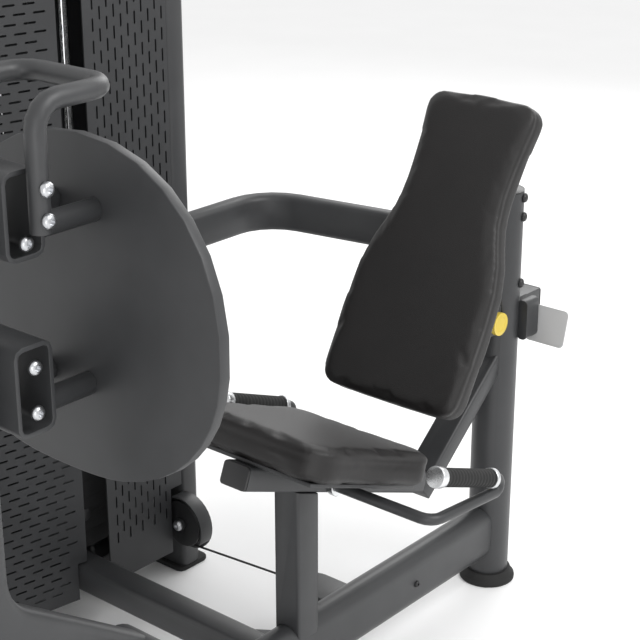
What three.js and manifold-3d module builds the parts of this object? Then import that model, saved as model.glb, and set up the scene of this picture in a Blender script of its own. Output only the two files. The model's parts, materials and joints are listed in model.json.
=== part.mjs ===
// Seated leg press with a weight tower at the user's right hand.
// Millimetres, +Z up. +Y runs from the foot plate back to the rear post, +X to the user's left.
// The origin is on the floor, at the centre of the rear post's foot.
import * as THREE from 'three';
import { mergeVertices } from 'three/addons/utils/BufferGeometryUtils.js';
import Module from 'manifold-3d';

const wasm = await Module();
wasm.setup();

// ---------- driving dimensions ----------
const GAP = 0.3;                       // clearance between pieces that touch
const WALL = 4;                        // wall of the frame tubes
const SHEET = 3;                       // thickness of the tower's sheet metal

const POST_R = 44.5;
const POST_TOP = 884;
const FOOT_R = 60;
const FOOT_H = 25;

const BEAM = { width: 60, low: 62, high: 182, front: -1400 };
const FRONT_FOOT_X = 240;
const FRONT_BEAM_HALF = 300;

const SEAT_TILT = -21.5;               // degrees about X, front edge up
const SEAT_ORIGIN = [0, -453.8, 443.5];
const SEAT = { length: 375, halfWidth: 185, thickness: 65 };
const RAIL = { width: 60, height: 45, drop: 8.3, front: -355, rear: 200 };
const SEAT_POST_Y = -637;

const BACK_TILT = -29.75;              // degrees about X, top edge back
const BACK_ORIGIN = [0, -398, 546];
const BACK = { length: 643, thickness: 58 };
const SLIDE_Z = 621;
const SLIDE_SIZE = 50;
const SLEEVE_SIZE = 60;
const POP_PIN_Y = -57;
const BACK_TRAVEL = 70;

const HANDLE = { x: 257, tubeR: 11, gripR: 17.5, crossY: -567, crossZ: 449, rearY: -358 };
const GRIP_FRONT = [-556, 533];
const GRIP_REAR = [-385, 466];

const TOWER = { face: -520, outer: -763, rear: -372, front: -965, low: 62, high: 1540 };
const WINDOW = { rear: -637, front: -700, top: 1353 };
const PANEL_ANGLE = -10;               // degrees about Z of the front side panel
const UPRIGHT_FOOT = 10;

const STACK = { x: -640, y: -668, halfX: 55, halfY: 150, rodOffset: 85, rodR: 12.5 };
const PLATE = { count: 10, resting: 2, thickness: 38, bottom: 130.3 };
const TOP_PLATE_H = 40;
const STEM_TOP = 620;

const CABLE_R = 2.5;
const PULLEY = { ropeR: 48, flangeR: 53, width: 20 };
const SMALL_PULLEY = { ropeR: 32, flangeR: 37, width: 20 };
const GROOVE_HALF = 6;
const WHEEL_SIDES = 20;
const TOP_PULLEY_Z = 1420;
const REAR_PULLEY = [-500, -436, 134];
const BASE_RUN = { x: -70, z: 118 };
const FRONT_PULLEY_Y = -1330;

const HUB = { y: -1060, z: 285, r: 62, half: 45, shaftR: 20 };
const SECTOR_R = 150;
const ARM = { width: 60, depth: 120, slope: 34, uprightY: -1380, top: 1215 };

const PLATE_TILT = -6;                 // degrees about X of the foot plate, top towards the user
const PLATE_ORIGIN = [0, -1160, 650];
const FOOTPLATE_T = 20;

// ---------- finishes ----------
const finish = (color, roughness, metalness) =>
  new THREE.MeshStandardMaterial({ color, roughness, metalness });
const powder = finish(0x2b2c2e, 0.55, 0.4);
const panel = finish(0x242526, 0.6, 0.4);
const vinyl = finish(0x1c1a1b, 0.55, 0);
const rubber = finish(0x161616, 0.8, 0);
const plastic = finish(0x1b1b1c, 0.5, 0);
const bright = finish(0xc9cbcd, 0.3, 0.9);
const zinc = finish(0xb9bbbe, 0.35, 0.9);
const iron = finish(0x2e2f31, 0.6, 0.5);
const yellow = finish(0xd9c24a, 0.5, 0);
const pale = finish(0xb8b8b8, 0.5, 0);

// ---------- small tools ----------
const v3 = (x, y, z) => new THREE.Vector3(x, y, z);
const radians = THREE.MathUtils.degToRad;

function toSolid(geometry) {
  const bare = geometry.clone();
  bare.deleteAttribute('normal');
  bare.deleteAttribute('uv');
  const merged = mergeVertices(bare, 1e-4);
  const vertProperties = new Float32Array(merged.attributes.position.array);
  const triVerts = new Uint32Array(merged.index.array);
  return new wasm.Manifold(new wasm.Mesh({ numProp: 3, vertProperties, triVerts }));
}

function toGeometry(solid) {
  const mesh = solid.getMesh();
  const geometry = new THREE.BufferGeometry();
  geometry.setAttribute('position', new THREE.BufferAttribute(new Float32Array(mesh.vertProperties), 3));
  geometry.setIndex(new THREE.BufferAttribute(new Uint32Array(mesh.triVerts), 1));
  geometry.computeVertexNormals();
  return geometry;
}

const join = (...solids) => solids.reduce((whole, piece) => whole.add(piece));
const cut = (solid, ...tools) => tools.reduce((whole, tool) => whole.subtract(tool), solid);

// A list of corners { at, r } with each corner that has a radius replaced by an arc.
function fillet(corners, closed, steps = 4) {
  const count = corners.length;
  const points = [];
  corners.forEach((corner, i) => {
    const isEnd = !closed && (i === 0 || i === count - 1);
    if (isEnd || !corner.r) {
      points.push(corner.at.clone());
      return;
    }
    const back = corners[(i - 1 + count) % count].at.clone().sub(corner.at).normalize();
    const ahead = corners[(i + 1) % count].at.clone().sub(corner.at).normalize();
    const half = Math.acos(THREE.MathUtils.clamp(back.dot(ahead), -1, 1)) / 2;
    const reach = corner.r / Math.tan(half);
    const middle = back.clone().add(ahead).normalize();
    const centre = corner.at.clone().addScaledVector(middle, corner.r / Math.sin(half));
    const from = corner.at.clone().addScaledVector(back, reach).sub(centre);
    const to = corner.at.clone().addScaledVector(ahead, reach).sub(centre);
    const turn = Math.PI - 2 * half;
    for (let k = 0; k <= steps; k += 1) {
      const share = k / steps;
      const point = centre.clone();
      point.addScaledVector(from, Math.sin((1 - share) * turn) / Math.sin(turn));
      point.addScaledVector(to, Math.sin(share * turn) / Math.sin(turn));
      points.push(point);
    }
  });
  return points;
}

// Flat outline from [a, b, radius] corners.
const flat = (corners, steps = 4) =>
  fillet(corners.map(([a, b, r]) => ({ at: v3(a, b, 0), r })), true, steps)
    .map((point) => new THREE.Vector2(point.x, point.y));

function outlineRect(width, height, r, a = 0, b = 0, steps = 2) {
  const w = width / 2;
  const h = height / 2;
  return flat([[a - w, b - h, r], [a + w, b - h, r], [a + w, b + h, r], [a - w, b + h, r]], steps);
}

function outlineCircle(r, sides, a = 0, b = 0) {
  const points = [];
  for (let i = 0; i < sides; i += 1) {
    const angle = (2 * Math.PI * i) / sides;
    points.push(new THREE.Vector2(a + r * Math.cos(angle), b + r * Math.sin(angle)));
  }
  return points;
}

function shapeOf(outer, ...holes) {
  const shape = new THREE.Shape(outer);
  holes.forEach((hole) => shape.holes.push(new THREE.Path(hole)));
  return shape;
}

// A straight prism of a flat outline: (X, Y) along Z, (X, Z) along Y, or (Y, Z) along X.
function prism(axis, shape, low, high) {
  const geometry = new THREE.ExtrudeGeometry(shape, { depth: high - low, bevelEnabled: false });
  const turn = new THREE.Matrix4();
  if (axis === 'x') {
    turn.makeBasis(v3(0, 1, 0), v3(0, 0, 1), v3(1, 0, 0)).setPosition(low, 0, 0);
  } else if (axis === 'y') {
    turn.makeBasis(v3(1, 0, 0), v3(0, 0, 1), v3(0, -1, 0)).setPosition(0, high, 0);
  } else {
    turn.setPosition(0, 0, low);
  }
  geometry.applyMatrix4(turn);
  return toSolid(geometry);
}

const box = (x0, x1, y0, y1, z0, z1) => {
  const geometry = new THREE.BoxGeometry(x1 - x0, y1 - y0, z1 - z0);
  geometry.translate((x0 + x1) / 2, (y0 + y1) / 2, (z0 + z1) / 2);
  return toSolid(geometry);
};

// A round bar along an axis; a and b are its centre in the outline's plane.
const bar = (axis, r, a, b, low, high, sides = 24) =>
  prism(axis, shapeOf(outlineCircle(r, sides, a, b)), low, high);

const ring = (axis, outer, inner, a, b, low, high, sides = 24) =>
  prism(axis, shapeOf(outlineCircle(outer, sides, a, b), outlineCircle(inner, sides, a, b)), low, high);

// A route through chosen stations, which keeps the section's second axis close to `up`.
class Route extends THREE.Curve {
  constructor(stations, up, rolling) {
    super();
    this.stations = stations;
    this.up = up;
    this.rolling = rolling;
  }

  getPoint(t) {
    const last = this.stations.length - 1;
    return this.stations[Math.round(t * last)].clone();
  }

  getPointAt(u) {
    return this.getPoint(u);
  }

  directionAt(i) {
    const last = this.stations.length - 1;
    const direction = v3(0, 0, 0);
    if (i > 0) {
      direction.add(this.stations[i].clone().sub(this.stations[i - 1]).normalize());
    }
    if (i < last) {
      direction.add(this.stations[i + 1].clone().sub(this.stations[i]).normalize());
    }
    return direction.normalize();
  }

  computeFrenetFrames() {
    const tangents = this.stations.map((_, i) => this.directionAt(i));
    let guide = this.up;
    const binormals = tangents.map((tangent) => {
      const binormal = guide.clone().addScaledVector(tangent, -guide.dot(tangent)).normalize();
      guide = this.rolling ? binormal : guide;
      return binormal;
    });
    const normals = binormals.map((binormal, i) => binormal.clone().cross(tangents[i]));
    return { tangents, normals, binormals };
  }
}

// A rolling sweep carries its section round the bends without twist; the others keep it level with up.
function sweep(corners, shape, up, steps = 4, rolling = false) {
  const stations = fillet(corners.map(([x, y, z, r]) => ({ at: v3(x, y, z), r })), false, steps);
  const extrudePath = new Route(stations, up, rolling);
  return toSolid(new THREE.ExtrudeGeometry(shape, { steps: stations.length - 1, extrudePath }));
}

const UP = v3(0, 0, 1);
const SIDE = v3(1, 0, 0);

// Moves a solid made in a tilted piece's own frame to its place.
function placed(solid, origin, degreesX, degreesZ = 0) {
  const matrix = new THREE.Matrix4();
  matrix.makeRotationFromEuler(new THREE.Euler(radians(degreesX), 0, radians(degreesZ), 'ZYX'));
  matrix.setPosition(...origin);
  const geometry = toGeometry(solid);
  geometry.applyMatrix4(matrix);
  return toSolid(geometry);
}

const machine = new THREE.Group();

function add(name, material, ...solids) {
  const whole = join(...solids);
  const mesh = new THREE.Mesh(toGeometry(whole), material);
  mesh.name = name;
  machine.add(mesh);
  return whole;
}

const tubeShape = (width, height, r, grow = 0, wall = WALL) => {
  const outer = outlineRect(width + 2 * grow, height + 2 * grow, r + grow);
  return shapeOf(outer, outlineRect(width - 2 * wall, height - 2 * wall, Math.max(r - wall, 1)));
};
const solidShape = (width, height, r, grow = 0) =>
  shapeOf(outlineRect(width + 2 * grow, height + 2 * grow, r + grow));

// ---------- rear post ----------
const postTool = () => bar('z', POST_R + GAP, 0, 0, 0, POST_TOP + 20, 32);
const sleeveTool = (grow) => {
  const half = SLEEVE_SIZE / 2 + grow;
  return box(-half, half, -120, 120, SLIDE_Z - half, SLIDE_Z + half);
};

function rearPost() {
  const tube = ring('z', POST_R, POST_R - WALL, 0, 0, FOOT_H + GAP, POST_TOP, 32);
  add('rear_post', powder, cut(tube, sleeveTool(GAP)));
}

function discFoot(x, y, topR) {
  const profile = [[0, 0], [FOOT_R, 0], [FOOT_R, 8], [FOOT_R - 6, 12], [topR, FOOT_H], [0, FOOT_H]];
  const geometry = new THREE.LatheGeometry(profile.map(([r, h]) => new THREE.Vector2(r, h)), 32);
  geometry.rotateX(Math.PI / 2);
  geometry.translate(x, y, 0);
  return toSolid(geometry);
}

// ---------- floor frame ----------
const beamShape = (grow) => shapeOf(outlineRect(
  BEAM.width + 2 * grow, BEAM.high - BEAM.low + 2 * grow, BEAM.width / 2 + grow - 0.5, 0,
  (BEAM.low + BEAM.high) / 2, 6,
));
const beamTool = () => prism('y', beamShape(GAP), BEAM.front, 0);
const CROSS = { low: 80, high: 140, front: -720, rear: -660, end: -570 };

function floorFrame() {
  const beamMiddle = (BEAM.low + BEAM.high) / 2;
  const inner = outlineRect(BEAM.width - 2 * WALL, BEAM.high - BEAM.low - 2 * WALL,
    BEAM.width / 2 - WALL - 0.5, 0, beamMiddle, 6);
  const tube = shapeOf(beamShape(0).getPoints(), inner);
  add('base_beam', powder, cut(prism('y', tube, BEAM.front + GAP, 0), postTool()));

  const frontTube = new THREE.Shape(outlineRect(60, 120, 12, BEAM.front - 30, beamMiddle));
  frontTube.holes.push(new THREE.Path(outlineRect(52, 112, 8, BEAM.front - 30, beamMiddle)));
  add('front_cross_beam', powder, prism('x', frontTube, -FRONT_BEAM_HALF, FRONT_BEAM_HALF));

  for (const side of [1, -1]) {
    const x = side * FRONT_FOOT_X;
    const stem = bar('z', 22, x, BEAM.front - 30, FOOT_H - 1, BEAM.low - GAP);
    add(side > 0 ? 'front_foot_left' : 'front_foot_right', rubber, discFoot(x, BEAM.front - 30, 40), stem);
  }
  add('tower_foot', rubber, prism('z', shapeOf(outlineRect(110, 88, 14, -573.5, -390.5)), 0, UPRIGHT_FOOT));
  add('rear_foot', rubber, discFoot(0, 0, 50));

  const hole = box(BASE_RUN.x - 12, BASE_RUN.x + 12, CROSS.front - 5, CROSS.rear + 5,
    BASE_RUN.z - 10, BASE_RUN.z + 10);
  const crossMiddle = [(CROSS.front + CROSS.rear) / 2, (CROSS.low + CROSS.high) / 2];
  const crossShape = shapeOf(
    outlineRect(60, 60, 8, ...crossMiddle),
    outlineRect(52, 52, 5, ...crossMiddle),
  );
  const cross = prism('x', crossShape, CROSS.end + GAP, -10);
  const gusset = prism('z', shapeOf(flat([[-31, CROSS.rear - 2], [-31, -620], [-90, CROSS.rear - 2]])),
    CROSS.high - 12, CROSS.high - 4);
  add('lower_cross_beam', powder, cut(join(cut(cross, hole), gusset), beamTool()));
}

// ---------- seat ----------
const inSeat = (solid) => placed(solid, SEAT_ORIGIN, SEAT_TILT);
const railMiddle = -RAIL.drop - RAIL.height / 2;

function seat() {
  const railShape = tubeShape(RAIL.width, RAIL.height, 6);
  const rail = prism('y', railShape, RAIL.front, RAIL.rear);
  add('seat_rail', powder, placed(rail, SEAT_ORIGIN, SEAT_TILT).translate(
    0, -railMiddle * Math.sin(radians(SEAT_TILT)), railMiddle * Math.cos(radians(SEAT_TILT))));

  const railTop = -RAIL.drop + GAP;
  const railLow = -RAIL.drop - RAIL.height - GAP;
  const railSide = RAIL.width / 2 + GAP;
  const railTool = inSeat(box(-railSide, railSide, -500, RAIL.rear + GAP, railLow, railTop));
  const aboveRail = inSeat(box(-100, 100, -500, 400, railLow, 300));
  const postShape = shapeOf(outlineRect(60, 60, 6, 0, SEAT_POST_Y), outlineRect(52, 52, 3, 0, SEAT_POST_Y));
  add('seat_post', powder, cut(prism('z', postShape, 150, 560), beamTool(), aboveRail));

  add('seat_plate', powder, inSeat(box(-150, 150, -340, -25, -RAIL.drop + GAP, -GAP)));
  const plan = flat([[-SEAT.halfWidth, 0, 40], [-SEAT.halfWidth, -SEAT.length, 60],
    [SEAT.halfWidth, -SEAT.length, 60], [SEAT.halfWidth, 0, 40]], 6);
  add('seat_pad', vinyl, inSeat(prism('z', shapeOf(plan), 0, SEAT.thickness)));

  const brace = sweep([[0, -275, 314], [0, 0, 545]], solidShape(60, 42, 6), UP);
  add('rear_brace', powder, cut(brace, railTool, postTool()));
}

// ---------- side handles ----------
const gripAxis = v3(0, GRIP_FRONT[0] - GRIP_REAR[0], GRIP_FRONT[1] - GRIP_REAR[1]).normalize();
const GRIP_TILT = THREE.MathUtils.radToDeg(Math.atan2(gripAxis.z, gripAxis.y)) - 180;
const GRIP_LENGTH = Math.hypot(GRIP_FRONT[0] - GRIP_REAR[0], GRIP_FRONT[1] - GRIP_REAR[1]);

function handles() {
  const tube = shapeOf(outlineCircle(HANDLE.tubeR, 12));
  const onGrip = (solid, side) => placed(solid, [side * HANDLE.x, GRIP_REAR[0], GRIP_REAR[1]], GRIP_TILT);
  const along = (r0, r1, low, high, side) =>
    onGrip(ring('y', r1, r0, 0, 0, -high, -low, 20), side);
  const upperZ = GRIP_REAR[1] + (HANDLE.rearY - GRIP_REAR[0]) * (gripAxis.z / gripAxis.y);
  for (const side of [1, -1]) {
    const x = side * HANDLE.x;
    const hand = side > 0 ? 'left' : 'right';
    const route = [
      [side * (RAIL.width / 2 + GAP), HANDLE.crossY, HANDLE.crossZ],
      [x, HANDLE.crossY, HANDLE.crossZ, 26],
      [x, HANDLE.rearY, upperZ - 25, 13],
      [x, HANDLE.rearY, upperZ, 13],
      [x, GRIP_FRONT[0], GRIP_FRONT[1]],
    ];
    const upward = v3(0.3, 0.2, 1).normalize();
    add(`handle_tube_${hand}`, powder, sweep(route, tube, upward, 4));
    add(`hand_grip_${hand}`, rubber, along(HANDLE.tubeR + 1, HANDLE.gripR, 7, GRIP_LENGTH - 12, side));
    const cap = onGrip(bar('y', 20, 0, 0, -GRIP_LENGTH - 6, -GRIP_LENGTH + 12 - GAP, 20), side);
    const socket = onGrip(bar('y', HANDLE.tubeR + 1, 0, 0, -GRIP_LENGTH - GAP, 0, 20), side);
    add(`grip_cap_${hand}`, bright, cut(cap, socket));
  }
}

// ---------- back rest ----------
const inBack = (solid) => placed(solid, BACK_ORIGIN, BACK_TILT);

function backOutline() {
  const half = new THREE.Path();
  half.moveTo(0, -4);
  half.bezierCurveTo(80, -4, 110, 0, 128, 0);
  half.bezierCurveTo(160, 0, 173, 18, 173, 50);
  half.bezierCurveTo(178, 130, 178, 200, 172, 262);
  half.bezierCurveTo(160, 350, 126, 360, 125, 450);
  half.bezierCurveTo(125, 510, 130, 550, 133, 600);
  half.bezierCurveTo(133, 630, 118, BACK.length, 92, BACK.length);
  half.bezierCurveTo(60, BACK.length, 30, BACK.length + 4, 0, BACK.length + 4);
  const right = half.getPoints(4);
  const left = right.slice(1, -1).reverse().map((point) => new THREE.Vector2(-point.x, point.y));
  return [...right, ...left];
}

function backRest() {
  add('back_pad', vinyl, inBack(prism('y', shapeOf(backOutline()), 0, BACK.thickness)));
  const plateBack = BACK.thickness + 5;
  const plateShape = shapeOf(outlineRect(150, 420, 20, 0, 290));
  const plate = inBack(prism('y', plateShape, BACK.thickness + GAP, plateBack));
  const clear = inBack(box(-200, 200, -200, plateBack + GAP, -300, 900));
  const welded = inBack(box(-200, 200, -200, plateBack - 1, -300, 900));
  const half = SLIDE_SIZE / 2;
  const inner = half - WALL;
  const hollow = box(-inner, inner, -400, 116, SLIDE_Z - inner, SLIDE_Z + inner);
  const slotRear = POP_PIN_Y + 7 + BACK_TRAVEL;
  const slot = box(inner - 1, half + 1, POP_PIN_Y - 7, slotRear, SLIDE_Z - 7, SLIDE_Z + 7);
  const tube = cut(box(-half, half, -330, 120, SLIDE_Z - half, SLIDE_Z + half), hollow, slot);
  const gusset = flat([[-360, 598], [-170, 598], [-150, 612], [-150, 640], [-225, 800, 30],
    [-225, 850], [-360, 850]]);
  const cheeks = [half + GAP, -half - GAP - 6].map((x) => prism('x', shapeOf(gusset), x, x + 6));
  add('back_slide_tube', powder, cut(tube, clear));
  add('back_plate', powder, plate, ...cheeks.map((cheek) => cut(cheek, welded)));

  const sleeveHalf = SLEEVE_SIZE / 2;
  const bore = half + 0.6;
  const sleeve = cut(
    box(-sleeveHalf, sleeveHalf, -85, 62, SLIDE_Z - sleeveHalf, SLIDE_Z + sleeveHalf),
    box(-bore, bore, -90, 70, SLIDE_Z - bore, SLIDE_Z + bore),
    bar('x', 6, POP_PIN_Y, SLIDE_Z, 20, 40, 12),
  );
  add('slide_sleeve', powder, sleeve);
  const knob = join(
    bar('x', 5, POP_PIN_Y, SLIDE_Z, 22, 33, 12),
    bar('x', 13, POP_PIN_Y, SLIDE_Z, 31, 38, 20),
    bar('x', 24, POP_PIN_Y, SLIDE_Z, 37.5, 48, 28),
  );
  add('pop_pin', yellow, cut(knob, bar('x', 16, POP_PIN_Y, SLIDE_Z, 47, 50, 20)));

  const bracket = prism('y', shapeOf(outlineRect(36, 86, 14, 51, 610)), 15, 58);
  const card = prism('y', shapeOf(outlineRect(92, 78, 10, 0, 0)), 0, SHEET);
  add('placard', pale, placed(card, [82, 61.5, 592], -14), cut(bracket, postTool(), sleeveTool(GAP)));
}

// ---------- guard rail and tower ----------
function guardRail() {
  const rail = sweep([[-545, -372 + GAP, 768], [-545, -118, 768, 105], [0, -28, 768]],
    tubeShape(40, 80, 12), UP, 5);
  add('guard_rail', powder, cut(rail, postTool()));
}

function tower() {
  const upright = (x, y, w, d, bottom) =>
    prism('z', shapeOf(outlineRect(w, d, 10, x, y), outlineRect(w - 8, d - 8, 6, x, y)),
      bottom, TOWER.high);
  add('tower_rear_upright', powder, upright(-570, -397, 100, 50, UPRIGHT_FOOT + GAP));
  add('tower_front_upright', powder, upright(-640, -935, 80, 50, 0));

  const low = TOWER.low;
  const channel = flat([[-700, low], [-695, low], [-695, 95], [-575, 95], [-575, low], [-570, low],
    [-570, 100, 3], [-700, 100, 3]]);
  add('tower_base_channel', powder, prism('y', shapeOf(channel), -910 + GAP, -422 - GAP));
  const topBeam = shapeOf(outlineRect(90, 50, 6, -625, 1515), outlineRect(82, 42, 3, -625, 1515));
  const inTop = (solid) => placed(solid, [STACK.x, STACK.y, 0], 0, topAngle);
  const cheeks = [-15, 12].map((x) => box(x, x + 3, -5, topSpan - 10, 1385, 1491));
  const axles = [PULLEY.ropeR, topSpan - PULLEY.ropeR].map((y) =>
    bar('x', 10, y, TOP_PULLEY_Z, -13, 13, 16));
  const topBar = prism('y', topBeam, -910 + GAP, -422 - GAP);
  add('tower_top_beam', powder, topBar, ...cheeks.map(inTop), ...axles.map(inTop));

  const rearOutline = flat([[WINDOW.rear, low], [-455, low], [-455, 215, 12], [-422 - GAP, 215],
    [-422 - GAP, TOWER.high], [WINDOW.front + GAP, TOWER.high], [WINDOW.front + GAP, WINDOW.top],
    [WINDOW.rear, WINDOW.top, 60]], 8);
  add('side_panel_rear', panel, prism('x', shapeOf(rearOutline), TOWER.face - SHEET, TOWER.face));
  const frontOutline = flat([[-262, low], [-22, low], [-22, 145], [0, 145],
    [0, TOWER.high], [-262, TOWER.high]]);
  const frontSheet = prism('x', shapeOf(frontOutline), -SHEET, 0);
  add('side_panel_front', panel,
    placed(frontSheet, [TOWER.face, WINDOW.front - 1, 0], 0, PANEL_ANGLE));

  const { outer, rear, front } = TOWER;
  const wrap = flat([[-620 - GAP, rear], [outer, rear, 20], [outer, front, 20], [-569, front],
    [-569, front + SHEET], [outer + SHEET, front + SHEET, 17], [outer + SHEET, rear - SHEET, 17],
    [-620 - GAP, rear - SHEET]]);
  add('tower_shroud', panel, prism('z', shapeOf(wrap), low, TOWER.high));
  const lid = flat([[TOWER.face, rear, 12], [outer, rear, 20], [outer, front, 20], [-566, front, 12],
    [TOWER.face, WINDOW.front, 12]]);
  add('tower_top_cover', plastic, prism('z', shapeOf(lid), TOWER.high + GAP, TOWER.high + 24));
}

// ---------- weight stack ----------
function stack() {
  for (const side of [-1, 1]) {
    const y = STACK.y + side * STACK.rodOffset;
    const rod = bar('z', STACK.rodR, STACK.x, y, 100 + GAP, 1490 - GAP, 16);
    const stop = bar('z', 26, STACK.x, y, 100 + GAP, 130, 16);
    add(side < 0 ? 'guide_rod_front' : 'guide_rod_rear', bright, rod, stop);
  }

  const rodHoles = [-1, 1].map((side) =>
    outlineCircle(STACK.rodR + 1.5, 16, STACK.x, STACK.y + side * STACK.rodOffset));
  const holes = (centreHole) => [
    bar('z', centreHole, STACK.x, STACK.y, 0, 700, 12),
    ...[-1, 1].map((side) =>
      bar('z', STACK.rodR + 1.5, STACK.x, STACK.y + side * STACK.rodOffset, 0, 700, 16)),
  ];
  const slab = (inset, low, high) => box(STACK.x - STACK.halfX + inset, STACK.x + STACK.halfX - inset,
    STACK.y - STACK.halfY + inset, STACK.y + STACK.halfY - inset, low, high);
  const pinZ = PLATE.bottom + PLATE.resting * (PLATE.thickness + GAP) + PLATE.thickness / 2;
  const pinHole = (r) => bar('x', r, STACK.y, pinZ, STACK.x - 20, STACK.x + STACK.halfX + 1, 12);
  const pitch = PLATE.thickness + GAP;
  const block = (first, count) => {
    const slabs = [];
    for (let i = first; i < first + count; i += 1) {
      const low = PLATE.bottom + i * pitch;
      slabs.push(slab(0, low, low + PLATE.thickness));
      if (i > first) {
        slabs.push(slab(1.5, low - GAP - 0.1, low + 0.1));
      }
    }
    return cut(join(...slabs), ...holes(11.5));
  };
  add('resting_plates', iron, block(0, PLATE.resting));
  add('selected_plates', iron, cut(block(PLATE.resting, PLATE.count - PLATE.resting), pinHole(5.6)));
  const topLow = PLATE.bottom + PLATE.count * (PLATE.thickness + GAP);
  add('top_plate', iron, cut(slab(5, topLow, topLow + TOP_PLATE_H), ...holes(10 + GAP)));
  add('selector_rod', zinc, cut(bar('z', 10, STACK.x, STACK.y, 136, STEM_TOP, 12), pinHole(5.6)));
  const grip = STACK.x + STACK.halfX + GAP;
  add('selector_pin', plastic, join(
    bar('x', 4.8, STACK.y, pinZ, STACK.x - 14, grip + 4, 12),
    bar('x', 14, STACK.y, pinZ, grip, grip + 30, 16),
  ));
}

// ---------- pulleys and cable ----------
const topLine = v3(REAR_PULLEY[0] - PULLEY.ropeR - STACK.x, REAR_PULLEY[1] - STACK.y, 0);
const topAngle = -THREE.MathUtils.radToDeg(Math.atan2(topLine.x, topLine.y));
const topSpan = topLine.length();

function wheel(spec) {
  const { ropeR, flangeR, width } = spec;
  const half = width / 2;
  const floor = ropeR - CABLE_R - 1.2;
  const profile = [[10.7, -half], [flangeR, -half], [flangeR, -GROOVE_HALF], [floor, -GROOVE_HALF],
    [floor, GROOVE_HALF], [flangeR, GROOVE_HALF], [flangeR, half], [10.7, half], [10.7, -half]];
  return new THREE.LatheGeometry(profile.map(([r, h]) => new THREE.Vector2(r, h)), WHEEL_SIDES);
}

function pulleys() {
  const inTop = (solid) => placed(solid, [STACK.x, STACK.y, 0], 0, topAngle);
  const upright = (spec) => toSolid(wheel(spec).rotateZ(-Math.PI / 2));
  const first = PULLEY.ropeR;
  const second = topSpan - PULLEY.ropeR;
  add('top_front_pulley', plastic, inTop(upright(PULLEY).translate(0, first, TOP_PULLEY_Z)));
  add('top_rear_pulley', plastic, inTop(upright(PULLEY).translate(0, second, TOP_PULLEY_Z)));

  const [rx, ry, rz] = REAR_PULLEY;
  const rearBack = -422 + GAP;
  const disc = bar('y', 66, rx, rz, rearBack, rearBack + 4, 32);
  const rim = ring('y', 66, 62, rx, rz, -452, rearBack + 4, 32);
  const openSide = prism('y', shapeOf(flat([[rx - 90, rz + 90], [rx - 30, rz + 70], [rx, rz],
    [rx + 90, rz - 48], [rx + 90, rz - 100], [rx - 90, rz - 100]])), -460, rearBack - GAP);
  const besideUpright = box(-640, TOWER.face + GAP, -500, -300, 0, 300);
  const axle = bar('y', 10, rx, rz, -447, rearBack, 16);
  const head = bar('y', 14, rx, rz, -455, -447, 6);
  add('rear_pulley_guard', powder, cut(join(cut(rim, openSide), disc), besideUpright), join(axle, head));
  add('rear_pulley', plastic, toSolid(wheel(PULLEY)).translate(rx, ry, rz));

  const baseX = BASE_RUN.x - SMALL_PULLEY.ropeR;
  const baseY = ry - SMALL_PULLEY.ropeR;
  const hood = (grow) => shapeOf(flat([[-20, baseY - 40 - grow], [-20, baseY + 40 + grow],
    [baseX - 40 - grow, baseY + 40 + grow, 38], [baseX - 40 - grow, baseY - 40 - grow, 38]], 6));
  const shelf = prism('z', hood(0), BASE_RUN.z - 18, BASE_RUN.z - 12);
  const roof = prism('z', hood(0), BASE_RUN.z + 14, BASE_RUN.z + 30);
  const baseAxle = bar('z', 10, baseX, baseY, BASE_RUN.z - 13, BASE_RUN.z + 15, 16);
  add('base_pulley_cover', powder, cut(join(shelf, roof, baseAxle), beamTool()));
  const flatWheel = toSolid(wheel(SMALL_PULLEY).rotateX(Math.PI / 2));
  add('base_pulley', plastic, flatWheel.translate(baseX, baseY, BASE_RUN.z - 1.5));

  const frontZ = BASE_RUN.z + SMALL_PULLEY.ropeR;
  const lug = prism('x', shapeOf(outlineRect(74, 80, 12, FRONT_PULLEY_Y, frontZ - 10)), -42, -10);
  const frontAxle = bar('x', 10, FRONT_PULLEY_Y, frontZ, BASE_RUN.x - 16, -40, 16);
  const frontHead = bar('x', 15, FRONT_PULLEY_Y, frontZ, BASE_RUN.x - 20, BASE_RUN.x - 12, 6);
  add('front_pulley_bracket', powder, cut(join(lug, frontAxle, frontHead), beamTool()));
  add('front_pulley', plastic, upright(SMALL_PULLEY).translate(BASE_RUN.x, FRONT_PULLEY_Y, frontZ));
}

// The strand that leaves the front pulley and meets the sector from below.
const frontPulleyZ = BASE_RUN.z + SMALL_PULLEY.ropeR;
const reachY = HUB.y - FRONT_PULLEY_Y;
const reachZ = HUB.z - frontPulleyZ;
const strandAngle = Math.atan2(reachZ, reachY)
  - Math.asin((SMALL_PULLEY.ropeR + SECTOR_R) / Math.hypot(reachY, reachZ));
const meetAngle = strandAngle - Math.PI / 2;

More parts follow.
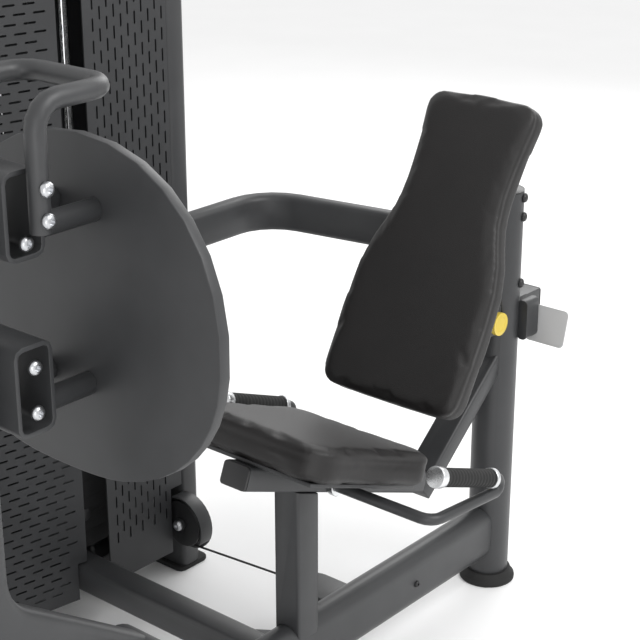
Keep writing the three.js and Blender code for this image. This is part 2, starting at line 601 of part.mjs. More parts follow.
function cable() {
  const section = shapeOf(outlineCircle(CABLE_R, 8));
  const [rx, ry, rz] = REAR_PULLEY;
  const dropX = rx - PULLEY.ropeR;
  const topZ = TOP_PULLEY_Z + PULLEY.ropeR;
  const run = BASE_RUN.x - rx;
  const rise = rz - BASE_RUN.z;
  const slope = Math.tan(Math.asin(PULLEY.ropeR / Math.hypot(run, rise)) - Math.atan2(rise, run));
  const wrapY = FRONT_PULLEY_Y - SMALL_PULLEY.ropeR;
  const leaveY = FRONT_PULLEY_Y - SMALL_PULLEY.ropeR * Math.sin(strandAngle);
  const leaveZ = frontPulleyZ + SMALL_PULLEY.ropeR * Math.cos(strandAngle);
  const meetY = HUB.y + SECTOR_R * Math.cos(meetAngle);
  const meetZ = HUB.z + SECTOR_R * Math.sin(meetAngle);
  const route = [
    [STACK.x, STACK.y, 1400],
    [STACK.x, STACK.y, topZ, PULLEY.ropeR],
    [dropX, ry, topZ, PULLEY.ropeR],
    [dropX, ry, BASE_RUN.z - slope * (BASE_RUN.x - dropX), PULLEY.ropeR],
    [BASE_RUN.x, ry, BASE_RUN.z, SMALL_PULLEY.ropeR],
    [BASE_RUN.x, wrapY, BASE_RUN.z, SMALL_PULLEY.ropeR],
    [BASE_RUN.x, wrapY, leaveZ - (wrapY - leaveY) * -Math.tan(strandAngle), SMALL_PULLEY.ropeR],
    [BASE_RUN.x, meetY, meetZ],
  ];
  const upward = v3(0.31, 0.17, 0.93).normalize();
  add('drive_cable', iron, sweep(route, section, upward, 6));
  add('stack_cable', iron, bar('z', CABLE_R, STACK.x, STACK.y, STEM_TOP + GAP, 1400 - GAP, 8));
}

// ---------- press arm ----------
function wedge(r, x0, x1, from, to) {
  const points = [[HUB.y, HUB.z]];
  const steps = 10;
  for (let i = 0; i <= steps; i += 1) {
    const angle = from + ((to - from) * i) / steps;
    points.push([HUB.y + r * Math.cos(angle), HUB.z + r * Math.sin(angle)]);
  }
  return prism('x', shapeOf(flat(points)), x0, x1);
}

function pressArm() {
  const hubBar = (r, x0, x1, sides = 32) => bar('x', r, HUB.y, HUB.z, x0, x1, sides);
  const shaftHole = hubBar(HUB.shaftR + GAP, -100, 100, 24);
  const shaft = hubBar(HUB.shaftR, BASE_RUN.x - 14, 72, 24);
  add('arm_hub', powder, join(hubBar(HUB.r, -HUB.half, HUB.half), shaft));

  const rise = (HUB.y - ARM.uprightY) * Math.tan(radians(ARM.slope));
  const arm = sweep([[0, HUB.y, HUB.z], [0, ARM.uprightY, HUB.z + rise, 150], [0, ARM.uprightY, ARM.top]],
    tubeShape(ARM.depth, ARM.width, 14), SIDE, 8);
  add('press_arm', powder, cut(arm, hubBar(HUB.r + GAP, -60, 60)));

  const from = meetAngle - radians(44);
  const to = meetAngle + radians(20);
  const x = BASE_RUN.x;
  const sector = join(
    wedge(SECTOR_R + 5, x - 8, x - 3, from, to),
    wedge(SECTOR_R + 5, x + 3, x + 8, from, to),
    wedge(SECTOR_R - CABLE_R - GAP, x - 4, x + 4, from, to),
    hubBar(36, x - 8, x + 8, 24),
  );
  add('cable_sector', powder, cut(sector, shaftHole));

  const cheek = shapeOf(flat([[HUB.y - 60, 150], [HUB.y + 60, 150],
    [HUB.y + 45, HUB.z], [HUB.y - 45, HUB.z]]));
  const cheeks = [-60, 50].map((x0) => join(
    prism('x', cheek, x0, x0 + 10),
    bar('x', 45, HUB.y, HUB.z, x0, x0 + 10, 24),
  ));
  const saddle = join(box(-60, 60, HUB.y - 60, HUB.y + 60, 150, 195), ...cheeks);
  add('pivot_saddle', powder, cut(saddle, beamTool(), hubBar(HUB.shaftR + 0.6, -80, 80, 24)));
}

// ---------- foot plate ----------
const inPlate = (solid) => placed(solid, PLATE_ORIGIN, PLATE_TILT);

function plateOutline(scale) {
  const half = new THREE.Path();
  half.moveTo(0, 56);
  half.bezierCurveTo(50, 56, 95, 58, 130, 67);
  half.bezierCurveTo(230, 92, 312, 165, 312, 275);
  half.bezierCurveTo(312, 440, 190, 574, 0, 574);
  const right = half.getPoints(8);
  const left = right.slice(1, -1).reverse().map((point) => new THREE.Vector2(-point.x, point.y));
  const middle = 315;
  return [...right, ...left].map((point) =>
    new THREE.Vector2(point.x * scale, middle + (point.y - middle) * scale));
}

function footPlate() {
  const dish = cut(prism('y', shapeOf(plateOutline(1)), -FOOTPLATE_T, 0),
    prism('y', shapeOf(plateOutline(0.97)), 5 - FOOTPLATE_T, 1));
  add('footplate', powder, inPlate(dish));
  const mat = prism('y', shapeOf(plateOutline(0.965)), 5 + GAP - FOOTPLATE_T, -4);
  add('footplate_mat', rubber, inPlate(mat));

  const rear = ARM.uprightY + ARM.depth / 2;
  const clear = inPlate(box(-340, 340, -FOOTPLATE_T - GAP, 400, -200, 900));
  const brackets = [['upper_plate_bracket', 1085, 1215], ['lower_plate_bracket', 820, 960]];
  for (const [name, low, high] of brackets) {
    const middle = (low + high) / 2;
    const lugMiddle = rear + GAP + 35;
    const lug = prism('x', shapeOf(outlineRect(70, high - low, 16, lugMiddle, middle),
      outlineRect(56, high - low - 14, 9, lugMiddle, middle)), -75, 75);
    const struts = [-45, 45].map((x) => bar('y', 18, x, low + 32, rear + 66, -950, 12));
    add(name, powder, lug, ...struts.map((strut) => cut(strut, clear)));
  }

  const section = shapeOf(outlineCircle(16, 12));
  const legX = 92;
  const legY = -1270;
  const reach = -1130;
  const top = 1307;
  const route = [[legX, legY, 1125], [legX, legY, top, 40], [legX, reach, top, 40],
    [-legX, reach, top, 40], [-legX, legY, top, 40], [-legX, legY, 1125]];
  add('grab_handle', powder, sweep(route, section, v3(0.2, 0.35, 0.9).normalize(), 4, true));
}

rearPost();
floorFrame();
seat();
handles();
backRest();
guardRail();
tower();
stack();
pulleys();
cable();
pressArm();
footPlate();

export default machine;
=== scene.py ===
"""Looks of the seated leg press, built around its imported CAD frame. Metres, +Z up."""
import json
import math

import bmesh
import bpy
from mathutils import Euler, Matrix, Vector
from mathutils.geometry import delaunay_2d_cdt


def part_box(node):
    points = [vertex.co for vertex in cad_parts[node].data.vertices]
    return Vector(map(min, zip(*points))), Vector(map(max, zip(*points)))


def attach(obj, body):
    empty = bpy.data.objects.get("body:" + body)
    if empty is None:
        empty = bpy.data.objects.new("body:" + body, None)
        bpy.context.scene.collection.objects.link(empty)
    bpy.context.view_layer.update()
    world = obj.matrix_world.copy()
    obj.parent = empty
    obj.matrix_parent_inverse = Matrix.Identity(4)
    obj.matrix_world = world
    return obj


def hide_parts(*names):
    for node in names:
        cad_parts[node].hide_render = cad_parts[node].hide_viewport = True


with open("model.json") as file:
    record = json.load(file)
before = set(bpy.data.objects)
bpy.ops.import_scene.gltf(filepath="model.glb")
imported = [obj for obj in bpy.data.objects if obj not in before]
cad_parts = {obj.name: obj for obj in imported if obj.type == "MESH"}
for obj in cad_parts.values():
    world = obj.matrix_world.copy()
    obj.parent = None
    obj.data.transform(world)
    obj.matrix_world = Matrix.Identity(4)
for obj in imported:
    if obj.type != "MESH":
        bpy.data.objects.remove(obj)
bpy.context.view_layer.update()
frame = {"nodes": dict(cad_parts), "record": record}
NODES = frame["nodes"]
BODY_OF = {n: body for body, nodes in frame["record"]["behaviour"]["bodies"].items() for n in nodes}
SLOT_OF = {part["node"]: part["material_slot"] for part in frame["record"]["subparts"]}

# ---------- sizes shared with the frame ----------
BACK_TILT = math.radians(-29.75)
BACK_ORIGIN = Vector((0, -0.398, 0.546))
SEAT_TILT = math.radians(-21.5)
SEAT_ORIGIN = Vector((0, -0.4538, 0.4435))
PANEL_TURN = math.radians(-10)
SLOT_LENGTH = 0.026
SLOT_WIDTH = 0.0042
SHEET = 0.003
HUB_Y, HUB_Z = -1.060, 0.285
BRACKET_Y = -1.285                      # bolt line of the foot plate brackets
GRAB_LEG_Y = -1.270
GRIP_X = 0.257
GRIP_FRONT = (-0.385, 0.466)            # Y and Z where a grip begins
GRIP_RUN = (-0.171, 0.067)              # Y and Z that a grip covers
PAD_SHRINK = 0.006                      # the pads start this much smaller, then swell
SEAM_HALF = 0.006
SEAM_DEPTH = 0.0016
VOXEL = 0.005
FLOOR_HALF = 9.0
SMOOTH_BELOW = math.radians(50)


# ---------- camera, floor and light ----------
def camera():
    data = bpy.data.cameras.new("camera")
    data.lens = 91.125
    data.sensor_width = 36
    item = bpy.data.objects.new("camera", data)
    bpy.context.scene.collection.objects.link(item)
    item.location = (1.7542, -2.6385, 1.8103)
    item.rotation_euler = (math.radians(90 - 21.0), 0, math.radians(40.3))
    bpy.context.scene.camera = item


def area_light(name, place, aim, size, watts):
    data = bpy.data.lights.new(name, "AREA")
    data.size = size
    data.energy = watts
    item = bpy.data.objects.new(name, data)
    item.location = place
    item.rotation_euler = (Vector(aim) - Vector(place)).to_track_quat("-Z", "Y").to_euler()
    bpy.context.scene.collection.objects.link(item)


def studio():
    world = bpy.data.worlds.new("studio")
    world.use_nodes = True
    world.node_tree.nodes["Background"].inputs["Color"].default_value = (1, 1, 1, 1)
    world.node_tree.nodes["Background"].inputs["Strength"].default_value = 0.95
    bpy.context.scene.world = world
    bpy.context.scene.view_settings.view_transform = "Standard"
    area_light("key", (2.6, -0.2, 3.6), (0, -0.6, 0.6), 2.2, 85)
    area_light("back_fill", (-1.2, 3.2, 3.0), (-0.2, -0.6, 0.7), 2.5, 70)
    area_light("front_fill", (2.4, -3.6, 1.2), (0, -0.6, 0.6), 2.0, 25)
    half = FLOOR_HALF
    corners = [(-half, -half, 0), (half, -half, 0), (half, half, 0), (-half, half, 0)]
    mesh = bpy.data.meshes.new("floor")
    mesh.from_pydata(corners, [], [(0, 1, 2, 3)])
    floor = bpy.data.objects.new("floor", mesh)
    floor.location.z = -0.0006
    bpy.context.scene.collection.objects.link(floor)
    floor.data.materials.append(surface("floor_paper", (0.93, 0.93, 0.93), 0.9, shade=0.985, scale=3))


# ---------- materials ----------
def surface(name, color, roughness, metallic=0.0, bump=0.0, grain=900, shade=0.8, scale=14,
            rough_spread=0.06, stretch=(1, 1, 1), cells=False, coat=0.0, specular=0.5):
    """A shader with slow colour drift, uneven roughness and a fine relief, all in object space."""
    material = bpy.data.materials.new(name)
    material.use_nodes = True
    nodes = material.node_tree.nodes
    links = material.node_tree.links
    shader = nodes["Principled BSDF"]
    shader.inputs["Metallic"].default_value = metallic
    shader.inputs["Coat Weight"].default_value = coat
    shader.inputs["Coat Roughness"].default_value = 0.25
    shader.inputs["Specular IOR Level"].default_value = specular
    place = nodes.new("ShaderNodeTexCoord")
    mapping = nodes.new("ShaderNodeMapping")
    mapping.inputs["Scale"].default_value = stretch
    links.new(place.outputs["Object"], mapping.inputs["Vector"])
    drift = nodes.new("ShaderNodeTexNoise")
    drift.inputs["Scale"].default_value = scale
    drift.inputs["Detail"].default_value = 4
    links.new(mapping.outputs["Vector"], drift.inputs["Vector"])
    tint = nodes.new("ShaderNodeValToRGB")
    tint.color_ramp.elements[0].position = 0.3
    tint.color_ramp.elements[0].color = (*[channel * shade for channel in color], 1)
    tint.color_ramp.elements[1].position = 0.7
    tint.color_ramp.elements[1].color = (*color, 1)
    links.new(drift.outputs["Fac"], tint.inputs["Fac"])
    links.new(tint.outputs["Color"], shader.inputs["Base Color"])
    fine = nodes.new("ShaderNodeTexVoronoi" if cells else "ShaderNodeTexNoise")
    fine.inputs["Scale"].default_value = grain
    links.new(mapping.outputs["Vector"], fine.inputs["Vector"])
    height = fine.outputs["Distance"] if cells else fine.outputs["Fac"]
    spread = nodes.new("ShaderNodeMapRange")
    spread.inputs["To Min"].default_value = roughness - rough_spread
    spread.inputs["To Max"].default_value = roughness + rough_spread
    links.new(height, spread.inputs["Value"])
    links.new(spread.outputs["Result"], shader.inputs["Roughness"])
    relief = nodes.new("ShaderNodeBump")
    relief.inputs["Strength"].default_value = bump
    relief.inputs["Distance"].default_value = 0.0006
    links.new(height, relief.inputs["Height"])
    links.new(relief.outputs["Normal"], shader.inputs["Normal"])
    return material


def make_finishes():
    return {
        "powder_coat": surface("powder_coat", (0.036, 0.037, 0.039), 0.42, bump=0.22, grain=1500),
        "panel_coat": surface("panel_coat", (0.030, 0.031, 0.033), 0.5, bump=0.2, grain=1500,
                              specular=0.45),
        "vinyl": surface("vinyl", (0.0105, 0.0095, 0.0095), 0.46, bump=0.35, grain=620, cells=True,
                         rough_spread=0.08, specular=0.42),
        "rubber": surface("rubber", (0.016, 0.016, 0.016), 0.75, bump=0.3, grain=900, specular=0.35),
        "black_plastic": surface("black_plastic", (0.014, 0.014, 0.015), 0.42, bump=0.12, grain=1100),
        "bright_aluminium": surface("bright_aluminium", (0.78, 0.79, 0.80), 0.28, 1.0, bump=0.1, grain=500,
                                    stretch=(6, 1, 1)),
        "chrome": surface("chrome", (0.78, 0.79, 0.80), 0.09, 1.0, bump=0.02, grain=400,
                          rough_spread=0.03),
        "zinc": surface("zinc", (0.60, 0.61, 0.63), 0.3, 1.0, bump=0.12, grain=700),
        "cast_plate": surface("cast_plate", (0.022, 0.022, 0.023), 0.6, bump=0.6, grain=420),
        "yellow_plastic": surface("yellow_plastic", (0.66, 0.50, 0.07), 0.38, bump=0.06, grain=900,
                                  shade=0.92),
        "pale_card": surface("pale_card", (0.50, 0.50, 0.50), 0.5, bump=0.05, grain=900, shade=0.96),
        "cable_jacket": surface("cable_jacket", (0.016, 0.016, 0.016), 0.35, bump=0.2, grain=600),
    }


# ---------- mesh helpers ----------
def new_object(name, mesh, body, slot, finishes):
    item = bpy.data.objects.new(name, mesh)
    bpy.context.scene.collection.objects.link(item)
    mesh.materials.clear()
    mesh.materials.append(finishes[slot])
    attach(item, body)
    return item


def soften(mesh, limit=SMOOTH_BELOW):
    for polygon in mesh.polygons:
        polygon.use_smooth = True
    mesh.set_sharp_from_angle(angle=limit)


def bevelled(bm, width, segments=2, limit=SMOOTH_BELOW):
    edges = [edge for edge in bm.edges if edge.is_manifold and edge.calc_face_angle(0) > limit]
    if edges and width > 0:
        bmesh.ops.bevel(bm, geom=edges, offset=width, offset_type="OFFSET", segments=segments,
                        profile=0.6, affect="EDGES", clamp_overlap=True)


def clean_copy(node):
    """The node's own shape, with its flat faces made whole again."""
    bm = bmesh.new()
    bm.from_mesh(NODES[node].data)
    bmesh.ops.remove_doubles(bm, verts=bm.verts, dist=1e-5)
    bmesh.ops.dissolve_limit(bm, angle_limit=math.radians(0.6), verts=bm.verts, edges=bm.edges)
    return bm


def refine(node, finishes, width=0.0012, limit=SMOOTH_BELOW):
    """Replaces a faceted node with the same shape, its edges rounded and its curves smooth."""
    bm = clean_copy(node)
    bevelled(bm, width, limit=limit)
    mesh = bpy.data.meshes.new(node + "_fine")
    bm.to_mesh(mesh)
    bm.free()
    item = new_object(node + "_fine", mesh, BODY_OF[node], SLOT_OF[node], finishes)
    soften(mesh, limit)
    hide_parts(node)


def turned(name, profile, axis_from, axis_to, body, slot, finishes, sides=40):
    """A closed turned piece: profile is (distance along, radius) from one end to the other."""
    start = Vector(axis_from)
    direction = (Vector(axis_to) - start).normalized()
    turn = direction.to_track_quat("Z", "Y").to_matrix().to_4x4()
    bm = bmesh.new()
    rows = []
    for along, radius in profile:
        row = []
        for i in range(sides):
            angle = 2 * math.pi * i / sides
            row.append(bm.verts.new((radius * math.cos(angle), radius * math.sin(angle), along)))
        rows.append(row)
    for low, high in zip(rows, rows[1:]):
        for i in range(sides):
            j = (i + 1) % sides
            bm.faces.new((low[i], low[j], high[j], high[i]))
    bm.faces.new(list(reversed(rows[0])))
    bm.faces.new(rows[-1])
    bm.transform(Matrix.Translation(start) @ turn)
    mesh = bpy.data.meshes.new(name)
    bm.to_mesh(mesh)
    bm.free()
    item = new_object(name, mesh, body, slot, finishes)
    soften(mesh, math.radians(40))
    return item


def dome_bolt(name, place, direction, radius, body, slot, finishes):
    """A button head screw with a hexagon socket's rim."""
    r = radius
    profile = [(0, r), (0.25 * r, r), (0.55 * r, 0.86 * r), (0.72 * r, 0.6 * r), (0.74 * r, 0.42 * r),
               (0.4 * r, 0.4 * r)]
    start = Vector(place)
    return turned(name, profile, start, start + Vector(direction), body, slot, finishes, 24)


# ---------- pads ----------
def plump(mesh, frames=20, pressure=4.0, cap=0.008):
    """Runs a short inflation of the closed form with cloth, and keeps each point near where it began."""
    item = bpy.data.objects.new("plump", mesh)
    bpy.context.scene.collection.objects.link(item)
    bpy.context.view_layer.objects.active = item
    before = [v.co.copy() for v in mesh.vertices]
    cloth = item.modifiers.new("cloth", "CLOTH")
    cloth.settings.use_pressure = True
    cloth.settings.uniform_pressure_force = pressure
    cloth.settings.effector_weights.gravity = 0
    cloth.settings.tension_stiffness = 25
    cloth.settings.compression_stiffness = 25
    cloth.settings.bending_stiffness = 2
    cloth.point_cache.frame_end = frames
    scene = bpy.context.scene
    for number in range(1, frames + 1):
        scene.frame_set(number)
    shown = item.evaluated_get(bpy.context.evaluated_depsgraph_get())
    after = [v.co.copy() for v in shown.data.vertices]
    item.modifiers.clear()
    scene.frame_set(1)
    for vertex, old, new in zip(mesh.vertices, before, after):
        step = new - old
        if step.length > cap:
            step *= cap / step.length
        vertex.co = old + step
    bpy.data.objects.remove(item)


def pad(node, origin, tilt, thick_axis, thickness, seam_share, finishes):
    """A firm upholstered pad: inflated cloth around the node's shape, with a sewn line along its side."""
    bm = clean_copy(node)
    place = Matrix.Translation(origin) @ Euler((tilt, 0, 0)).to_matrix().to_4x4()
    bm.transform(place.inverted())
    bmesh.ops.triangulate(bm, faces=bm.faces)
    low = [min(v.co[i] for v in bm.verts) for i in range(3)]
    sizes = [max(v.co[i] for v in bm.verts) - low[i] for i in range(3)]
    for vertex in bm.verts:
        for i in range(3):
            middle = low[i] + sizes[i] / 2
            vertex.co[i] = middle + (vertex.co[i] - middle) * (1 - 2 * PAD_SHRINK / sizes[i])
    bevelled(bm, 0.011, segments=4)
    mesh = bpy.data.meshes.new(node + "_cover")
    bm.to_mesh(mesh)
    bm.free()
    item = bpy.data.objects.new(node + "_cover", mesh)
    bpy.context.scene.collection.objects.link(item)
    remesh = item.modifiers.new("remesh", "REMESH")
    remesh.mode = "VOXEL"
    remesh.voxel_size = VOXEL
    even = item.modifiers.new("even", "SMOOTH")
    even.iterations = 6
    shown = item.evaluated_get(bpy.context.evaluated_depsgraph_get())
    fine = bpy.data.meshes.new_from_object(shown)
    bpy.data.objects.remove(item)
    plump(fine, cap=PAD_SHRINK + 0.001)
    seam_at = low[thick_axis] + thickness * seam_share
    for vertex in fine.vertices:
        away = abs(vertex.co[thick_axis] - seam_at)
        facing_side = 1 - abs(vertex.normal[thick_axis])
        if away < SEAM_HALF and facing_side > 0.5:
            inward = vertex.normal * (-SEAM_DEPTH * (1 - away / SEAM_HALF))
            vertex.co += inward
    fine.transform(place)
    cover = bpy.data.objects.new(node + "_vinyl", fine)
    bpy.context.scene.collection.objects.link(cover)
    fine.materials.clear()
    fine.materials.append(finishes["vinyl"])
    finer = cover.modifiers.new("finer", "SUBSURF")
    finer.levels = 1
    finer.render_levels = 1
    for polygon in fine.polygons:
        polygon.use_smooth = True
    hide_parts(node)
    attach(cover, BODY_OF[node])


# ---------- slotted panels ----------
def slot_outline(a, b, tall):
    """The rounded outline of one slot, as points around it."""
    r = SLOT_WIDTH / 2
    reach = SLOT_LENGTH / 2 - r
    points = []
    for end in (1, -1):
        for k in range(4):
            angle = math.pi * (k / 3) - (0 if end > 0 else math.pi)
            along = end * reach + r * math.sin(angle)
            across = r * math.cos(angle)
            points.append((a + across, b + along) if tall else (a + along, b + across))
    return points


def slotted_sheet(name, outline, slots, place, node, finishes):
    """A sheet cut by real slots: outline and slots are loops of points in the sheet's own plane."""
    points = []
    edges = []
    loop_of = []
    for number, loop in enumerate([outline] + slots):
        first = len(points)
        points.extend(Vector(p) for p in loop)
        loop_of.extend([number] * len(loop))
        edges.extend((first + i, first + (i + 1) % len(loop)) for i in range(len(loop)))
    flat, _, triangles, source, _, _ = delaunay_2d_cdt(points, edges, [], 1, 1e-7)
    loop_at = [loop_of[origin[0]] if origin else 0 for origin in source]
    count = len(flat)
    verts = [(0, p.x, p.y) for p in flat] + [(-SHEET, p.x, p.y) for p in flat]
    faces = []
    used = {}
    for a, b, c in triangles:
        if loop_at[a] and loop_at[a] == loop_at[b] == loop_at[c]:
            continue
        first, second = flat[b] - flat[a], flat[c] - flat[a]
        if first.x * second.y - first.y * second.x < 0:
            b, c = c, b
        faces.append((a, b, c))
        faces.append((a + count, c + count, b + count))
        for edge in ((a, b), (b, c), (c, a)):
            used[edge] = True
    for a, b in used:
        if (b, a) not in used:
            faces.append((b, a, a + count, b + count))
    mesh = bpy.data.meshes.new(name)
    mesh.from_pydata(verts, [], faces)
    mesh.transform(place)
    mesh.validate()
    item = new_object(name, mesh, BODY_OF[node], SLOT_OF[node], finishes)
    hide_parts(node)


def arc_points(centre, radius, start, end, steps=10):
    return [(centre[0] + radius * math.cos(start + (end - start) * k / steps),
             centre[1] + radius * math.sin(start + (end - start) * k / steps)) for k in range(steps + 1)]


def side_panels(finishes):
    low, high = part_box("side_panel_rear")
    front, rear = low.y, high.y
    bottom, top = low.z, high.z
    face = high.x
    window_rear = -0.637
    arch_top = 1.353
    arch_r = 0.060
    notch_front, notch_top = -0.455, 0.215
    outline = [(window_rear, bottom), (notch_front, bottom), (notch_front, notch_top), (rear, notch_top),
               (rear, top), (front, top), (front, arch_top)]
    outline += arc_points((window_rear - arch_r, arch_top - arch_r), arch_r, math.pi / 2, 0)
    slots = []
    columns = 11
    column_pitch = 0.0178
    row_pitch = 0.0415
    for column in range(columns):
        across = rear - 0.012 - column * column_pitch
        along = bottom + 0.10 + (row_pitch / 2 if column % 2 else 0)
        while along < top - 0.03:
            if across > notch_front - 0.012 and along < notch_top + 0.03:
                along += row_pitch
                continue
            slots.append(slot_outline(across, along, True))
            along += row_pitch
    slotted_sheet("side_panel_rear_slotted", outline, slots,
                  Matrix.Translation((face, 0, 0)), "side_panel_rear", finishes)

    length = 0.262
    notch = [(-0.022, bottom), (-0.022, 0.145), (0, 0.145)]
    outline = [(-length, bottom)] + notch + [(0, top), (-length, top)]
    slots = []
    row = 0
    along = bottom + 0.03
    while along < top - 0.02:
        across = -length + 0.024 + (0.0205 if row % 2 else 0)
        while across < -0.020:
            if across < -0.045 or along > 0.17:
                slots.append(slot_outline(across, along, False))
            across += 0.041
        along += 0.0175
        row += 1
    place = Matrix.Translation((face, -0.701, 0)) @ Matrix.Rotation(PANEL_TURN, 4, "Z")
    slotted_sheet("side_panel_front_slotted", outline, slots, place, "side_panel_front", finishes)


# ---------- small fittings that the frame's nodes leave out ----------
def rounded_slab(name, width, depth, height, radius, place, body, slot, finishes, bevel=0.0015):
    """A rounded rectangle of width (X) by depth (Y), height thick, put in place by a matrix."""
    bm = bmesh.new()
    loop = []
    for sx, sy, start in ((1, 1, 0), (-1, 1, 90), (-1, -1, 180), (1, -1, 270)):
        for k in range(6):
            angle = math.radians(start + 90 * k / 5)
            loop.append(bm.verts.new((sx * (width / 2 - radius) + radius * math.cos(angle),
                                      sy * (depth / 2 - radius) + radius * math.sin(angle), 0)))
    face = bm.faces.new(loop)
    raised = bmesh.ops.extrude_face_region(bm, geom=[face])
    top = [g for g in raised["geom"] if isinstance(g, bmesh.types.BMVert)]
    bmesh.ops.translate(bm, verts=top, vec=(0, 0, height))
    bmesh.ops.recalc_face_normals(bm, faces=bm.faces)
    bevelled(bm, bevel)
    bm.transform(place)
    mesh = bpy.data.meshes.new(name)
    bm.to_mesh(mesh)
    bm.free()
    item = new_object(name, mesh, body, slot, finishes)
    soften(mesh)
    return item


def facing(origin, toward):
    """A frame at origin whose +Z points toward the given direction, its own Y kept close to up."""
    return Matrix.Translation(origin) @ Vector(toward).to_track_quat("Z", "Y").to_matrix().to_4x4()


def end_caps(finishes):
    low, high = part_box("front_cross_beam")
    middle = (low + high) / 2
    for side, name in ((1, "left"), (-1, "right")):
        x = high.x if side > 0 else low.x
        place = facing((x, middle.y, middle.z), (side, 0, 0))
        rounded_slab(f"beam_cap_{name}", 0.056, 0.116, 0.005, 0.012, place, "frame", "black_plastic",
                     finishes)
    post_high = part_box("rear_post")[1]
    post_r = post_high.x
    dome = [(-0.01, post_r - 0.005), (0.0003, post_r - 0.0045), (0.0004, post_r), (0.003, post_r),
            (0.006, post_r - 0.006), (0.0075, post_r - 0.018)]
    turned("rear_post_cap", dome, (0, 0, post_high.z), (0, 0, 2), "frame", "black_plastic", finishes, 48)
    arm_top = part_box("press_arm")[1].z
    rounded_slab("arm_cap", 0.059, 0.119, 0.005, 0.013,
                 Matrix.Translation((0, -1.38, arm_top + 0.0003)), "arm", "black_plastic", finishes)
    tilt = Matrix.Translation(SEAT_ORIGIN) @ Matrix.Rotation(SEAT_TILT, 4, "X")
    for name, at, toward in (("front", -0.3553, -1), ("rear", 0.2003, 1)):
        place = tilt @ facing((0, at, -0.0308), (0, toward, 0))
        rounded_slab(f"seat_rail_cap_{name}", 0.059, 0.044, 0.006, 0.007, place, "frame",
                     "black_plastic", finishes)
    slide_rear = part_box("back_slide_tube")[1].y
    rounded_slab("slide_tube_cap", 0.05, 0.05, 0.004, 0.006,
                 facing((0, slide_rear + 0.0002, 0.621), (0, 1, 0)), "backrest", "black_plastic", finishes)


def bolts(finishes):
    turn = math.radians(20)
    aside = Vector((math.cos(turn), math.sin(turn), 0))
    post_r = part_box("rear_post")[1].x
    for i, z in enumerate((0.872, 0.832, 0.690)):
        dome_bolt(f"rear_post_bolt_{i}", aside * post_r + Vector((0, 0, z)), aside, 0.010, "frame",
                  "black_plastic", finishes)
    hub_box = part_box("arm_hub")
    arm_bolts = ((GRAB_LEG_Y, 1.145, 0.108), (GRAB_LEG_Y, 1.190, 0.108), (BRACKET_Y, 1.110, 0.075),
                 (BRACKET_Y, 0.925, 0.075), (BRACKET_Y, 0.855, 0.075))
    for side, hand in ((1, "left"), (-1, "right")):
        for i, (y, z, x) in enumerate(arm_bolts):
            dome_bolt(f"arm_bolt_{hand}_{i}", (side * x, y, z), (side, 0, 0), 0.0115, "arm", "zinc",
                      finishes)
        shaft_end = hub_box[1].x if side > 0 else hub_box[0].x
        turned(f"hub_washer_{hand}", [(0, 0.029), (0.004, 0.029), (0.005, 0.027), (0.005, 0.016)],
               (shaft_end, HUB_Y, HUB_Z), (shaft_end + side, HUB_Y, HUB_Z), "arm", "zinc", finishes)
        dome_bolt(f"hub_bolt_{hand}", (shaft_end + side * 0.005, HUB_Y, HUB_Z), (side, 0, 0), 0.014,
                  "arm", "zinc", finishes)
        for i, y in enumerate((-1.105, -1.015)):
            dome_bolt(f"saddle_bolt_{hand}_{i}", (side * 0.060, y, 0.172), (side, 0, 0), 0.010, "frame",
                      "zinc", finishes)
    dome_bolt("rear_pulley_bolt", (-0.5, -0.455, 0.134), (0, -1, 0), 0.012, "frame", "zinc", finishes)
    dome_bolt("beam_bolt", (0.030, -0.300, 0.120), (1, 0, 0), 0.007, "frame", "black_plastic", finishes)
    for i, (y, z) in enumerate(((-0.61, 0.082), (-0.47, 1.52), (-0.61, 1.52))):
        dome_bolt(f"panel_screw_{i}", (-0.520, y, z), (1, 0, 0), 0.005, "frame", "black_plastic", finishes)


def placard(finishes):
    """A pale card on a dark bracket; the frame holds both in one node."""
    bracket = Matrix.Translation((0.051, 0.015, 0.610)) @ Matrix.Rotation(math.radians(-90), 4, "X")
    card = (Matrix.Translation((0.082, 0.0615, 0.592)) @ Matrix.Rotation(math.radians(-14), 4, "X")
            @ Matrix.Rotation(math.radians(-90), 4, "X"))
    for name, width, depth, height, radius, place, slot in (
            ("placard_bracket", 0.024, 0.086, 0.043, 0.010, bracket, "powder_coat"),
            ("placard_card", 0.092, 0.078, SHEET, 0.010, card, "pale_card")):
        item = rounded_slab(name, width, depth, height, radius, place, "frame", slot, finishes, 0.0008)
        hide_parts("placard")


def handle_fittings(finishes):
    """Aluminium collars: one where each grip ends, one where each tube meets the seat rail."""
    along = Vector((0, *GRIP_RUN)).normalized()
    for side, hand in ((1, "left"), (-1, "right")):
        start = Vector((side * GRIP_X, *GRIP_FRONT))
        rim = [(-0.004, 0.0115), (-0.004, 0.0185), (-0.003, 0.0195), (0.0055, 0.0195), (0.0065, 0.0185),
               (0.0065, 0.0115)]
        turned(f"grip_collar_{hand}", rim, start, start + along, "frame", "bright_aluminium", finishes)
        root = Vector((side * 0.0303, -0.567, 0.449))
        rim = [(0, 0.0115), (0, 0.0185), (0.001, 0.0195), (0.012, 0.0195), (0.013, 0.0185),
               (0.013, 0.0115)]
        turned(f"rail_collar_{hand}", rim, root, root + Vector((side, 0, 0)), "frame", "bright_aluminium",
               finishes)


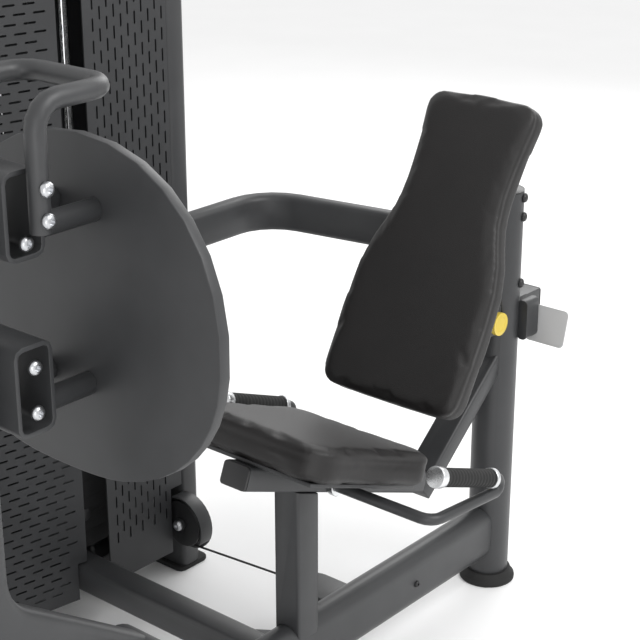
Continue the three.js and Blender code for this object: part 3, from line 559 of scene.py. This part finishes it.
def grips(finishes):
    """Rubber sleeves with shallow rings."""
    along = Vector((0, *GRIP_RUN)).normalized()
    length = math.hypot(*GRIP_RUN) - 0.012
    for side, hand in ((1, "left"), (-1, "right")):
        start = Vector((side * GRIP_X, *GRIP_FRONT)) + along * 0.0072
        profile = [(0, 0.0118), (0, 0.0165), (0.001, 0.0175)]
        rings = 15
        pitch = (length - 0.0152) / rings
        for k in range(rings):
            at = 0.004 + k * pitch
            profile += [(at, 0.0175), (at + 0.0008, 0.0169), (at + 0.0020, 0.0169),
                        (at + 0.0028, 0.0175)]
        end = length - 0.0074
        profile += [(end - 0.001, 0.0175), (end, 0.0165), (end, 0.0118)]
        item = turned(f"grip_rubber_{hand}", profile, start, start + along, "frame", "rubber", finishes)
        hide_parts(f"hand_grip_{hand}")


def pulley_nut(finishes):
    """The screw in the end of the front pulley's axle, fixed to the frame."""
    dome_bolt("front_pulley_nut", (-0.0905, -1.33, 0.15), (-1, 0, 0), 0.010, "frame", "zinc", finishes)


# ---------- everything together ----------
OWN_FORM = ("seat_pad", "back_pad", "side_panel_rear", "side_panel_front", "hand_grip_left",
            "hand_grip_right", "placard")
EDGE = 0.0016
OTHER_EDGE = {"drive_cable": 0, "stack_cable": 0, "handle_tube_left": 0, "handle_tube_right": 0,
              "footplate": 0.003, "tower_top_cover": 0.004, "rear_foot": 0.0015,
              "selected_plates": 0.001, "resting_plates": 0.001, "rear_pulley_guard": 0.0006,
              "slide_sleeve": 0.0012, "tower_shroud": 0.0008, "grab_handle": 0.0005}


def build():
    camera()
    studio()
    finishes = make_finishes()
    for node in sorted(NODES):
        if node in OWN_FORM:
            continue
        width = OTHER_EDGE.get(node, EDGE)
        limit = math.radians(60) if width == 0 else SMOOTH_BELOW
        refine(node, finishes, width, limit)
    pad("seat_pad", SEAT_ORIGIN, SEAT_TILT, 2, 0.065, 0.62, finishes)
    pad("back_pad", BACK_ORIGIN, BACK_TILT, 1, 0.058, 0.38, finishes)
    side_panels(finishes)
    grips(finishes)
    handle_fittings(finishes)
    end_caps(finishes)
    bolts(finishes)
    placard(finishes)
    pulley_nut(finishes)


build()
bpy.context.view_layer.update()
